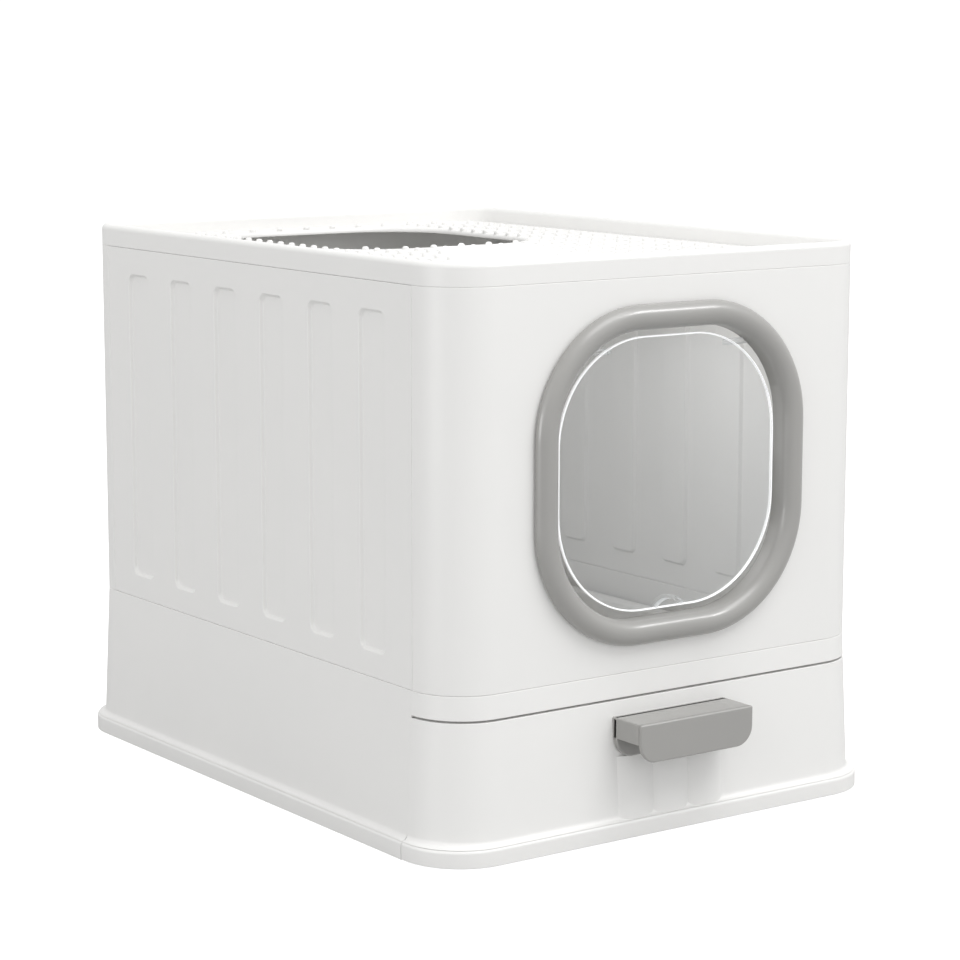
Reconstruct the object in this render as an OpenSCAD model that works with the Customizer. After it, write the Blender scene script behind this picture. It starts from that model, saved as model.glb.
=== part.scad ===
// Top entry litter box: folding cabin on a drawer base, with a clear swing flap
// in the front window and a studded, perforated lid with an entry hole.
// Millimetres. The front (window, drawer) faces -Y, and the floor is at Z = 0.

/* [Overall] */
// Height from the floor to the top of the lid's rim
total_h = 395; // [334:1:464]
// Width of the cabin, outside its side panels
body_w = 367; // [310:1:440]
// Depth of the cabin, outside its front and back panels
body_d = 488; // [410:1:580]
// Radius of the cabin's vertical corners
corner_r = 40; // [30:1:48]
// Running gap between pieces that are taken apart
gap = 0.3; // [0.2:0.05:0.5]

/* [Base frame] */
// Height of the base frame, where the panels stand on it
base_h = 113; // [95:1:135]
// Wall of the base frame
base_wall = 3; // [2.5:0.1:4]
// How far the base wall flares outwards at its foot
flare = 4.5; // [3:0.5:7]
// Height of the flange round the foot
lip_h = 12.5; // [9:0.5:16]
// How far the flange stands out from the cabin
lip_out = 9.5; // [7:0.5:14]
// Corner radius of the flange
lip_r = 45; // [38:1:52]
// Width of the ledge that carries the tray
ledge_w = 32; // [26:1:38]
// Thickness of the ledge
ledge_t = 3; // [2:0.5:4]

/* [Drawer] */
// Height of the crossbar over the drawer, below the panels
bar_h = 16.4; // [12:0.2:26]
// Gap between the drawer front and the crossbar above it
drawer_gap = 1.6; // [1:0.1:3]
// Wall of the litter tray
tray_wall = 2.5; // [2:0.1:3.5]
// Drop from the drawer front's top to the tray's rim
tray_drop = 4; // [4:0.5:25]
// Space between the tray's rim and the base wall on each side
tray_side = 5.5; // [4:0.5:30]
// Width of the tray's rolled rim
tray_rim = 5; // [3.5:0.5:8]
// Inward slope of the tray's sides from the rim to the floor
tray_draft = 8; // [4:0.5:12]
// Corner radius of the tray
tray_r = 34; // [26:1:38]

/* [Handle] */
// Width of the handle
handle_w = 98; // [80:1:120]
// How far the handle stands out from the drawer front
handle_d = 31; // [25:1:40]
// Height of the handle's front plate
handle_h = 27; // [22:1:34]
// Drop from the drawer front's top to the handle's top face
handle_drop = 10.5; // [5:0.5:20]
// Wall of the handle
handle_wall = 3; // [2.5:0.1:4]
// Radius of the handle's lower corners
handle_r = 13.5; // [8:0.5:16]
// Number of rounded reeds below the handle
reed_n = 3; // [2:1:4]
// Width of one reed
reed_w = 30.5; // [18:0.5:34]
// How far a reed stands out
reed_t = 3.6; // [2:0.2:5]

/* [Panels] */
// Wall of the cabin's panels
wall = 3; // [2.5:0.1:4]
// Number of recessed ribs in a side panel
rib_n = 6; // [4:1:7]
// Width of a recessed rib
rib_w = 31.5; // [24:0.5:38]
// Space from a side panel's end to the first rib
rib_end = 30.75; // [24:0.25:40]
// Depth of a rib's recess
rib_t = 2.5; // [1.5:0.1:3]
// Corner radius of a rib
rib_r = 7; // [4:0.5:10]
// Space from the panel's foot to the ribs
rib_foot = 17; // [12:1:30]
// Space from the ribs to the panel's head
rib_head = 18; // [12:1:30]
// Gap between a side panel's head and the lid
head_gap = 0.8; // [0.5:0.1:1.5]
// Outer radius of the side panels' hinge knuckles
knuckle_r = 3.2; // [3:0.1:4.5]
// Diameter of the hinge pins
pin_d = 3; // [2.5:0.1:3.5]

/* [Window] */
// Space from the window ring to the cabin's rounded corner on each side
ring_side = 28.5; // [10:0.5:50]
// Space from the ring down to the panel's foot
ring_foot = 18.5; // [8:0.5:40]
// Space from the ring up to the panel's head
ring_head = 17.5; // [8:0.5:40]
// Corner radius of the window ring
ring_r = 86; // [60:1:90]
// Width of the ring's half-round bead
bead_w = 19.5; // [16:0.5:24]
// Wall of the ring's sleeve through the panel
sleeve_t = 2.5; // [2:0.1:3.5]
// Length of the sleeve behind the panel's outer face
sleeve_l = 9; // [8:0.5:14]
// Thickness of the clear flap
flap_t = 1.8; // [1.5:0.1:3]
// Space between the flap's edge and the sleeve
flap_gap = 3; // [2:0.5:5]
// How much rounder the flap's corners are than the ring's opening
flap_round = 7; // [5:0.5:12]
// Diameter of the flap's pivot pins
flap_pin_d = 4; // [3:0.1:5]
// Distance from the ring's top down to the flap's pivot axis
pivot_drop = 30.5; // [27:0.5:42]

/* [Lid] */
// Height of the lid's rim band
rim_h = 16; // [13:0.5:20]
// Thickness of the rim band, whose crest is half-round
rim_t = 8; // [6:0.5:9]
// Depth of the deck below the top of the rim
deck_drop = 12; // [9:0.5:13]
// Thickness of the deck
deck_t = 2.5; // [2:0.1:3.5]
// Width of the entry hole
hole_w = 192; // [160:1:220]
// Length of the entry hole from front to back
hole_d = 200; // [165:1:220]
// Corner radius of the entry hole
hole_r = 60; // [45:1:78]
// Distance from the hole's back edge to the outside of the cabin
hole_back = 33.5; // [22:0.5:48]
// Height of the collar round the hole
collar_h = 5; // [4:0.5:8]
// Distance between studs along the lid's width
stud_px = 24.8; // [16:0.2:32]
// Distance between studs along the lid's depth
stud_py = 15.35; // [12:0.05:24]
// Diameter of a stud
stud_d = 5; // [4:0.2:7]
// Height of a stud
stud_t = 2.5; // [1.5:0.1:3]
// Diameter of a drain hole
drain_d = 3.6; // [2.5:0.1:4.5]
// Space kept between the studs and the inside of the rim
stud_rim = 20; // [8:1:40]

/* [Hidden] */
$fn = 64;

white = "#f3f2ef";
grey = "#9f9e9b";
clear = [0.86, 0.9, 0.92, 0.35];
steel = "#b9bbbd";

// Flange, front to back and side to side
lip_w = body_w + 2 * lip_out;
lip_d = body_d + 2 * lip_out;
seam_y = body_d / 2 - corner_r;        // the corners' ends, where the panels meet
bar_z = base_h - bar_h;                // underside of the front crossbar
drawer_h = bar_z - drawer_gap;
head_z = total_h - rim_h;              // top of the panels, foot of the lid's rim
deck_z = total_h - deck_drop;          // top of the lid's deck
face_y = body_d / 2;                   // outside of the front panel, from the middle
inner_w = body_w - 2 * wall;
inner_d = body_d - 2 * wall;
// The base wall's outside at a height, measured from the cabin's outside
function flare_at(z) = flare * (base_h - z) / (base_h - lip_h);
tray_z = ledge_t + gap;                // underside of the tray
tray_front = face_y + flare_at(drawer_h) - base_wall - gap - 3;
tray_back = face_y - base_wall - 3;
tray_h = drawer_h - tray_drop;         // top of the tray's rim
tray_w = body_w - 2 * (base_wall + tray_side);
handle_z = drawer_h - handle_drop;
handle_y = face_y + flare_at(handle_z);
front_reach = handle_y + handle_d;     // front of the handle, from the middle
y_shift = (front_reach - lip_d / 2) / 2;
hinge_x = body_w / 2 - wall - knuckle_r - gap;
hinge_z = base_h + gap + knuckle_r + 0.5;
rib_pitch = (2 * (seam_y - rib_end) - rib_w) / (rib_n - 1);
hinge_y = 2 * rib_pitch;
knuckle_l = 20;                        // length of a side panel's hinge knuckle
screw_x = handle_w * 0.36;
screw_z = handle_z - 11;
pin_play = 0.08;                       // radial play of a pin in its bore
hinge_pin_l = knuckle_l + 16;
ring_w = body_w - 2 * (corner_r + ring_side);
ring_h = head_z - base_h - ring_foot - ring_head;
ring_z = base_h + ring_foot + ring_h / 2;
ring_flat = 25;                        // straight half-length kept for the ring's catches
ring_corner = min(ring_r, ring_w / 2 - ring_flat, ring_h / 2 - ring_flat);
pivot_up = ring_h / 2 - pivot_drop;    // flap's pivot axis above the window's middle
ring_t = 3;                            // thickness of the retaining ring
screw_d = 3;
head_d = 7;
flap_y = sleeve_l / 2;                 // middle of the flap, behind the panel's face
hole_y = body_d / 2 - hole_back - hole_d / 2;

// Everything is drawn about the cabin's middle and set so that the whole is centred.
module placed() {
    translate([0, y_shift, 0]) children();
}

module round_rect(w, d, r) {
    square([w - 2 * r, d], center = true);
    square([w, d - 2 * r], center = true);
    for (x = [-1, 1], y = [-1, 1])
        translate([x * (w / 2 - r), y * (d / 2 - r)]) circle(r);
}

// A profile carried round a rounded rectangle. The child's x is measured outwards
// from the outline, and its y is the height.
module round_run(w, d, r) {
    for (i = [0 : 3]) {
        reach = i % 2 == 0 ? w / 2 : d / 2;
        along = i % 2 == 0 ? d / 2 : w / 2;
        rotate(90 * i) {
            translate([reach, along - r, 0]) rotate([90, 0, 0])
                linear_extrude(2 * (along - r)) children();
            translate([reach - r, along - r, 0])
                rotate_extrude(angle = 90) translate([r, 0]) children();
        }
    }
}

// A rounded plate whose edge slopes: w by h at its top face, smaller by the depth below.
module draft_plate(w, h, r, t) {
    translate([0, 0, -t]) linear_extrude(t) round_rect(w - 2 * t, h - 2 * t, r - t);
    round_run(w, h, r) polygon([[0, 0], [-t, -t], [-t - 0.5, -t], [-t - 0.5, 0]]);
}

// The half of space in front of (side = -1) or behind (side = 1) the corner seam
module seam_block(side, z0, z1) {
    big = 2 * (body_w + body_d);
    translate([-big / 2, side < 0 ? -seam_y - big : -seam_y, z0]) cube([big, big, z1 - z0]);
}

// Flared wall of the base and of the drawer front
module skirt_profile(top) {
    polygon([[flare_at(top), top], [flare, lip_h], [flare, 0],
        [flare - base_wall, 0], [flare - base_wall, lip_h], [flare_at(top) - base_wall, top]]);
}

// Flange: rounded on its top edge, with a fillet up to the wall
module lip_profile() {
    edge = 3;
    // Far enough back to meet the wall on the straight runs and in the corners
    back = max(lip_out - flare + 1,
        sqrt(2) * (lip_out - lip_r + corner_r) + lip_r - corner_r - flare + 0.5);
    polygon(concat([[0, 0]],
        [for (a = [0 : 15 : 90]) [edge * (cos(a) - 1), lip_h - edge + edge * sin(a)]],
        [[-back, lip_h + 2], [-back, 0]]));
}

module skirt_and_lip(top) {
    round_run(body_w, body_d, corner_r) skirt_profile(top);
    round_run(lip_w, lip_d, lip_r) lip_profile();
}

module foot_outline(out) {
    round_rect(body_w + 2 * (flare + out), body_d + 2 * (flare + out), corner_r + flare + max(out, -corner_r));
}

module base_frame() {
    lug_w = 8;
    color(white) placed() {
        intersection() {
            skirt_and_lip(base_h);
            seam_block(1, 0, base_h);
        }
        // Crossbar over the drawer, with the front corners
        intersection() {
            round_run(body_w, body_d, corner_r)
                polygon([[0, base_h], [flare_at(bar_z), bar_z], [flare_at(bar_z) - 7, bar_z], [-7, base_h]]);
            translate([0, 1, 0]) seam_block(-1, bar_z, base_h);
        }
        // Ledges that the tray slides on
        intersection() {
            linear_extrude(ledge_t) difference() {
                foot_outline(-base_wall / 2);
                foot_outline(-base_wall / 2 - ledge_w);
            }
            seam_block(1, 0, ledge_t);
        }
        for (side = [-1, 1], along = [-1, 1], end = [-1, 1])
            hinge_lug(side, along * hinge_y + end * (knuckle_l / 2 + gap + lug_w / 2), lug_w);
    }
}

// One lug on the base's wall that carries a side panel's hinge pin
module hinge_lug(side, y, lug_w) {
    drop = 12;
    back = body_w / 2 - base_wall + 0.5;
    difference() {
        union() {
            translate([side * hinge_x, y + lug_w / 2, hinge_z]) rotate([90, 0, 0])
                cylinder(h = lug_w, r = knuckle_r);
            translate([side > 0 ? hinge_x - knuckle_r : -hinge_x - knuckle_r, y - lug_w / 2, base_h - drop])
                cube([2 * knuckle_r, lug_w, hinge_z - base_h + drop]);
            translate([side > 0 ? hinge_x : -back, y - lug_w / 2, base_h - drop])
                cube([back - hinge_x, lug_w, drop]);
        }
        translate([side * hinge_x, y + lug_w / 2 + 1, hinge_z]) rotate([90, 0, 0])
            cylinder(h = lug_w + 2, d = pin_d);
    }
}

module litter_tray() {
    rim = tray_rim;
    len = tray_front + tray_back;
    mid = (tray_back - tray_front) / 2;
    floor_w = tray_w - 2 * rim - 2 * tray_draft;
    color(white) placed() difference() {
        tray_shell(mid, len, rim, floor_w);
        handle_screw_holes(screw_d + 0.6);
    }
}

module tray_shell(mid, len, rim, floor_w) {
    translate([0, mid, 0]) {
        translate([0, 0, tray_z]) linear_extrude(tray_wall)
            round_rect(floor_w, len - 2 * rim - 2 * tray_draft, tray_r - tray_draft);
        round_run(tray_w - 2 * rim, len - 2 * rim, tray_r)
            polygon([[0, tray_h], [-tray_draft, tray_z], [-tray_draft - tray_wall, tray_z],
                [-tray_draft - tray_wall, tray_z + tray_wall], [-tray_wall, tray_h]]);
        // Rolled rim
        round_run(tray_w, len, tray_r + rim)
            polygon([[0, tray_h - 5], [0, tray_h - 1], [-1, tray_h], [-rim - tray_wall, tray_h],
                [-rim - tray_wall, tray_h - tray_wall], [-2, tray_h - tray_wall], [-2, tray_h - 5]]);
    }
}

// Rounded reeds on the drawer front below the handle, thicker by more. Each is a
// little wider than its share, so that neighbours cross in a crease.
module reeds(more) {
    z0 = lip_h;
    z1 = handle_z - handle_wall - 2 * gap + more;
    chord = reed_w + 1;
    r = (chord * chord / 4 + reed_t * reed_t) / (2 * reed_t);
    lean = atan((flare - flare_at(z1)) / (z1 - lip_h));
    for (i = [0 : reed_n - 1])
        translate([(i - (reed_n - 1) / 2) * reed_w, -face_y - flare_at(z1), z1]) rotate([-lean, 0, 0])
            intersection() {
                translate([0, r - reed_t, z0 - z1]) cylinder(h = z1 - z0, r = r + more, $fn = 128);
                translate([-chord / 2 - 1 - more, -reed_t - 1, z0 - z1])
                    cube([chord + 2 + 2 * more, reed_t + 2.5, z1 - z0]);
            }
}

module drawer_front() {
    color(white) placed() difference() {
        union() {
            intersection() {
                skirt_and_lip(drawer_h);
                translate([0, -0.6, 0]) seam_block(-1, 0.4, drawer_h);
            }
            // Shelf that hooks over the tray's rim
            intersection() {
                round_run(body_w, body_d, corner_r)
                    polygon([[flare_at(drawer_h) - 1, drawer_h], [-14, drawer_h],
                        [-14, drawer_h - 2.5], [flare_at(drawer_h) - 1, drawer_h - 2.5]]);
                translate([0, -0.6, 0]) seam_block(-1, 0, drawer_h);
            }
            reeds(0);
            // Bosses that reach back to the tray
            for (side = [-1, 1])
                translate([side * screw_x, -tray_wall_y(screw_z + 4.5) - gap, screw_z]) rotate([90, 0, 0])
                    cylinder(h = face_y - tray_wall_y(screw_z + 4.5), d = 9);
        }
        handle_screw_holes(screw_d + 0.6);
    }
}

// Outside of the tray's front wall at a height, measured forwards from the middle
function tray_wall_y(z) = tray_front - tray_rim - tray_draft * (tray_h - z) / (tray_h - tray_z);

// Bores for the two screws that hold the handle, through the drawer front and the tray
module handle_screw_holes(d) {
    for (side = [-1, 1])
        translate([side * screw_x, -tray_front + 20, screw_z]) rotate([90, 0, 0])
            cylinder(h = 60, d = d);
}

module handle_outline(inset) {
    w = handle_w - 2 * inset;
    r = handle_r - inset;
    difference() {
        union() {
            translate([-w / 2, -handle_h + inset + r]) square([w, handle_h - 2 * inset - r]);
            translate([-w / 2 + r, -handle_h + inset]) square([w - 2 * r, r + 1]);
            for (side = [-1, 1])
                translate([side * (w / 2 - r), -handle_h + inset + r]) circle(r);
        }
    }
}

module drawer_handle() {
    color(grey) placed() difference() {
        translate([0, -front_reach, handle_z]) rotate([90, 0, 180]) {
            difference() {
                linear_extrude(handle_d) handle_outline(0);
                // Finger pocket, open at the back and below
                translate([0, 0, handle_wall]) linear_extrude(handle_d) handle_outline(handle_wall);
                translate([-handle_w / 2 + handle_r, -handle_h - 1, handle_wall])
                    cube([handle_w - 2 * handle_r, handle_h / 2, handle_d]);
            }
            for (side = [-1, 1])
                translate([side * screw_x, screw_z - handle_z, 1]) cylinder(h = handle_d, d = 8);
        }
        // The drawer front's sloping face and reeds
        reeds(gap);
        rotate([90, 0, 90]) translate([0, 0, -handle_w]) linear_extrude(2 * handle_w)
            polygon([for (z = [lip_h, drawer_h]) [-face_y - flare_at(z), z], [0, drawer_h], [0, lip_h]]);
        for (side = [-1, 1])
            translate([side * screw_x, 0, screw_z]) rotate([90, 0, 0])
                cylinder(h = front_reach - handle_wall - 2, d = screw_d + 0.1);
    }
}

module handle_screws() {
    // The head bears on the inside of the tray's wall
    seat_y = tray_wall_y(screw_z - head_d / 2) - tray_wall - 0.1;
    color(steel) placed() for (side = [-1, 1])
        translate([side * screw_x, -seat_y, screw_z]) rotate([90, 0, 0]) {
            translate([0, 0, -2.4]) cylinder(h = 2.4, d = head_d);
            cylinder(h = front_reach - handle_wall - 3 - seat_y, d = screw_d);
        }
}

// Front or back panel, with the two corners that it carries
module wrapped_panel(side) {
    intersection() {
        translate([0, 0, base_h]) linear_extrude(head_z - base_h) difference() {
            round_rect(body_w, body_d, corner_r);
            round_rect(inner_w, inner_d, corner_r - wall);
        }
        big = 2 * (body_w + body_d);
        translate([-big / 2, side < 0 ? -seam_y - big : seam_y, 0]) cube([big, big, total_h]);
    }
}

module in_window() {
    translate([0, -face_y, ring_z]) rotate([90, 0, 0]) children();
}

module front_panel() {
    fit = 2 * (bead_w - sleeve_t - gap);
    color(white) placed() difference() {
        wrapped_panel(-1);
        in_window() translate([0, 0, -wall - 1]) linear_extrude(wall + 2)
            round_rect(ring_w - fit, ring_h - fit, ring_corner - fit / 2);
        in_window() flap_bores();
    }
}

module back_panel() {
    color(white) placed() wrapped_panel(1);
}

// A side panel in its own plane: x along the cabin, y up, outside at z = 0
module panel_plate() {
    h = head_z - base_h - gap - head_gap;
    len = 2 * (seam_y - gap);
    rib_h = h - rib_foot - rib_head;
    lap = 2.5;
    difference() {
        union() {
            translate([-len / 2, 0, -wall]) cube([len, h, wall]);
            at_ribs(rib_h) translate([0, 0, -wall]) draft_plate(rib_w + 2, rib_h + 2, rib_r + 1, rib_t);
            // Strips that lap behind the front and back panels' corners
            for (end = [0, 1]) mirror([end, 0, 0]) {
                translate([len / 2 - 8, 6, -wall - 1 - lap]) cube([8, h - 20, lap + 1.5]);
                translate([len / 2 - 8, 6, -wall - 1 - lap]) cube([14, h - 20, lap]);
            }
        }
        at_ribs(rib_h) draft_plate(rib_w, rib_h, rib_r, rib_t);
    }
}

module at_ribs(rib_h) {
    for (i = [0 : rib_n - 1])
        translate([(i - (rib_n - 1) / 2) * rib_pitch, rib_foot + rib_h / 2, 0]) children();
}

module side_panel(side) {
    color(white) placed() difference() {
        union() {
            translate([side * body_w / 2, 0, base_h + gap]) rotate([90, 0, 90 * side]) panel_plate();
            for (along = [-1, 1])
                translate([side * hinge_x, along * hinge_y + knuckle_l / 2, hinge_z]) rotate([90, 0, 0]) {
                    cylinder(h = knuckle_l, r = knuckle_r);
                    translate([side > 0 ? 0 : -knuckle_r - gap - 1, -knuckle_r, 0])
                        cube([knuckle_r + gap + 1, 2 * knuckle_r, knuckle_l]);
                }
        }
        for (along = [-1, 1])
            translate([side * hinge_x, along * hinge_y + knuckle_l, hinge_z]) rotate([90, 0, 0])
                cylinder(h = 2 * knuckle_l, d = pin_d + 2 * pin_play);
    }
}

module left_panel() { side_panel(-1); }
module right_panel() { side_panel(1); }

module panel_hinge_pins() {
    color(steel) placed() for (side = [-1, 1], along = [-1, 1])
        translate([side * hinge_x, along * hinge_y + hinge_pin_l / 2, hinge_z]) rotate([90, 0, 0])
            cylinder(h = hinge_pin_l, d = pin_d);
}

// Bores for the flap's two pivot pins
module flap_bores() {
    for (side = [-1, 1])
        translate([side * pin_end - 15, pivot_up, -flap_y]) rotate([0, 90, 0])
            cylinder(h = 30, d = flap_pin_d + 2 * pin_play);
}

// Half width, at the height of the pivots, of the ring's outline moved inwards with
// its corners made rounder by more
function half_at_pivot(inset, more) =
    ring_w / 2 - ring_corner - more + sqrt(pow(ring_corner + more - inset, 2)
        - pow(pivot_up - ring_h / 2 + ring_corner + more, 2));
flap_inset = bead_w + flap_gap;
flap_corner = min(ring_corner - flap_inset + flap_round, ring_w / 2 - flap_inset, ring_h / 2 - flap_inset);
pin_end = half_at_pivot(bead_w - sleeve_t, 0) - 1;          // where a pivot pin ends
pin_root = half_at_pivot(flap_inset, flap_corner + flap_inset - ring_corner) - 6;

module window_ring() {
    color(grey) placed() in_window() difference() {
        union() {
            round_run(ring_w, ring_h, ring_corner) {
                intersection() {
                    translate([-bead_w / 2, 0]) circle(d = bead_w);
                    translate([-bead_w, 0]) square([bead_w, bead_w]);
                }
            }
            round_run(ring_w, ring_h, ring_corner)
                translate([-bead_w, -sleeve_l]) square([sleeve_t, sleeve_l + 0.5]);
            // Catches that hold the retaining ring
            for (turn = [0 : 90 : 270]) rotate(turn) for (x = [-18, 18])
                translate([x - 5, (turn % 180 == 0 ? ring_h : ring_w) / 2 - bead_w + sleeve_t - 0.5, -sleeve_l])
                    cube([10, 1.7, sleeve_l - wall - ring_t - gap]);
        }
        flap_bores();
    }
}

module retaining_ring() {
    color(grey) placed() in_window() difference() {
        translate([0, 0, -wall - ring_t]) round_run(ring_w, ring_h, ring_corner)
            translate([-bead_w + sleeve_t + gap, 0]) square([bead_w - sleeve_t - 5, ring_t]);
        flap_bores();
    }
}

module swing_flap() {
    w = ring_w - 2 * flap_inset;
    h = ring_h - 2 * flap_inset;
    color(clear) placed() in_window() {
        translate([0, 0, -flap_y - flap_t / 2]) linear_extrude(flap_t) round_rect(w, h, flap_corner);
        for (side = [-1, 1])
            translate([side < 0 ? -pin_end : pin_root, pivot_up, -flap_y]) rotate([0, 90, 0])
                cylinder(h = pin_end - pin_root, d = flap_pin_d);
        // Arched finger tab at the foot
        translate([0, -h / 2 + 0.5, -flap_y - flap_t / 2]) linear_extrude(flap_t + 3) difference() {
            intersection() {
                translate([0, -8]) circle(d = 32);
                translate([-13, 0]) square([26, 10]);
            }
            translate([0, -8]) circle(d = 27);
        }
    }
}

// Is a point inside a rounded rectangle?
function inside(x, y, w, d, r) = let (a = max(abs(x) - w / 2 + r, 0), b = max(abs(y) - d / 2 + r, 0))
    abs(x) < w / 2 && abs(y) < d / 2 && a * a + b * b < r * r;

// Places in the lid's lattice, moved by a share of its pitch, that clear the rim and
// are more than edge away from the entry hole
module at_lattice(share, edge) {
    from_rim = 2 * (rim_t + stud_rim);
    nx = floor(body_w / 2 / stud_px);
    ny = floor(body_d / 2 / stud_py);
    for (i = [-nx : nx], j = [-ny : ny]) {
        x = (i + share) * stud_px;
        y = (j + share) * stud_py;
        if (inside(x, y, body_w - from_rim, body_d - from_rim, max(corner_r - from_rim / 2, 1))
            && !inside(x, y - hole_y, hole_w + 2 * edge, hole_d + 2 * edge, hole_r + edge))
            translate([x, y]) children();
    }
}

// The lid's flat deck, with the drain holes between the studs
module deck() {
    translate([0, 0, deck_z - deck_t]) linear_extrude(deck_t) difference() {
        round_rect(body_w - 2, body_d - 2, corner_r - 1);
        translate([0, hole_y]) round_rect(hole_w, hole_d, hole_r);
        at_lattice(0.5, deck_t + drain_d / 2 + 0.5) circle(d = drain_d, $fn = 16);
    }
    sunk = deck_t / 2;
    translate([0, 0, deck_z - sunk]) linear_extrude(sunk + stud_t)
        at_lattice(0, stud_d / 2 + 0.5) circle(d = stud_d, $fn = 16);
}

// Ribs that sit inside the front and back panels, short of the side panels
module locating_ribs() {
    rib = 2.5;
    drop = 8;
    back = corner_r * 0.45;
    for (turn = [0, 180]) rotate(turn) translate([0, -back, 0]) intersection() {
        translate([0, back, head_z - drop])
            round_run(inner_w - 2 * gap, inner_d - 2 * gap, corner_r - wall - gap)
                translate([-rib, 0]) square([rib, drop + 2]);
        seam_block(-1, head_z - drop, total_h);
    }
}

module lid() {
    color(white) placed() {
        round_run(body_w, body_d, corner_r) {
            translate([-rim_t, head_z]) square([rim_t, rim_h - rim_t / 2]);
            translate([-rim_t / 2, total_h - rim_t / 2]) circle(d = rim_t);
        }
        deck();
        locating_ribs();
        // Collar round the entry hole
        translate([0, hole_y, deck_z - collar_h])
            round_run(hole_w + 2 * deck_t, hole_d + 2 * deck_t, hole_r + deck_t)
                translate([-deck_t, 0]) square([deck_t, collar_h]);
    }
}

base_frame();
litter_tray();
drawer_front();
drawer_handle();
handle_screws();
front_panel();
back_panel();
left_panel();
right_panel();
panel_hinge_pins();
window_ring();
retaining_ring();
swing_flap();
lid();
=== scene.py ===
import logging
import math
from collections.abc import Sequence
from dataclasses import dataclass
from enum import Enum

import bmesh
import bpy
import numpy as np
from mathutils import Euler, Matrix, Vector
from mathutils.geometry import delaunay_2d_cdt


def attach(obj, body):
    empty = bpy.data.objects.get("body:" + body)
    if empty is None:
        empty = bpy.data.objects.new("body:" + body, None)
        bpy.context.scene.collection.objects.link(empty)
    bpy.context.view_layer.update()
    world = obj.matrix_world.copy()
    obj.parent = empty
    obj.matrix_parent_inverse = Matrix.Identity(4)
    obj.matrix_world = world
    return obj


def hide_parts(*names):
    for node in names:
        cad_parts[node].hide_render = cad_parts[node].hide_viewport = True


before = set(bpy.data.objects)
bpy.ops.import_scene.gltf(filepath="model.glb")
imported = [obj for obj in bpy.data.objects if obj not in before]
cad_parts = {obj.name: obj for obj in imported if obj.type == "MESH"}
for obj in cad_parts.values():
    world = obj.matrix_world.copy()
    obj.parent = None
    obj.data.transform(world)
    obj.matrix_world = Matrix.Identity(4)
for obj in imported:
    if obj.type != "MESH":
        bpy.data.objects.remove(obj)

# Looks of a top entry litter box. Shapes are worked out in millimetres about the
# cabin's middle, with the front at -Y, and set in the frame's metres at the end.
MM = 0.001
SHIFT_Y = 11.38806  # the cabin's middle lies this far behind the frame's origin
WELD = 2e-6  # metres within which vertices join
SLIVER = 1e-7  # metres under which an edge counts as gone
SHARP_FROM = math.radians(38)  # steeper edges of a plain piece shade sharp
BEVEL_FROM = math.radians(50)  # steeper edges get the bevel, where a piece has one
BEVEL_STEPS = 3
FACE_WEIGHT = 70  # how much large faces lead in the shading
log = logging.getLogger("litter_box")
Array = np.ndarray
Pair = tuple[float, float]
Triple = tuple[float, float, float]


class Slot(Enum):
    """The record's material slots."""

    WHITE = "white_plastic"
    GREY = "grey_plastic"
    CLEAR = "clear_plastic"
    STEEL = "steel"


# -------- outlines and paths


@dataclass(frozen=True)
class Path:
    """Points along an outline with the unit direction that points out of it."""

    points: Array
    normals: Array
    closed: bool = True


def rounded_rect(width: float, depth: float, radius: float, arc: int = 10) -> Path:
    """A rounded rectangle, anticlockwise from the middle of its right side.

    Each corner is its centre plus the radius times (cos a, sin a), with a over 90 degrees.

    Args:
        width: Size along the first axis.
        depth: Size along the second axis.
        radius: Corner radius.
        arc: Steps in each corner.

    Returns:
        The closed path.
    """
    turn = np.radians(np.linspace(0, 90, arc + 1))
    angles = (turn[None, :] + np.radians([[0], [90], [180], [270]])).ravel()
    quarters = np.array([[1, 1], [-1, 1], [-1, -1], [1, -1]], float)
    centre = quarters * [width / 2 - radius, depth / 2 - radius]
    normals = circle(angles)
    return Path(np.repeat(centre, arc + 1, axis=0) + radius * normals, normals)


def circle(turn: Array, radius: float = 1.0) -> Array:
    """Points on a circle about the origin: the radius times (cos, sin) of each angle."""
    return radius * np.stack([np.cos(turn), np.sin(turn)], -1)


def half_run(outline: Path, end: float, front: bool) -> Path:
    """The part of a rounded rectangle in front of or behind a line across it.

    Args:
        outline: A path made by rounded_rect.
        end: Where the line crosses, along the second axis.
        front: Whether the front part is wanted, and not the back part.

    Returns:
        The open path, with its two ends on the line.
    """
    half = len(outline.points) // 2
    part = slice(half, None) if front else slice(0, half)
    points, normals = outline.points[part], outline.normals[part]
    ends = np.array([[points[0, 0], end], [points[-1, 0], end]])
    normals = np.vstack([normals[:1], normals, normals[-1:]])
    return Path(np.vstack([ends[:1], points, ends[1:]]), normals, False)


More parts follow.
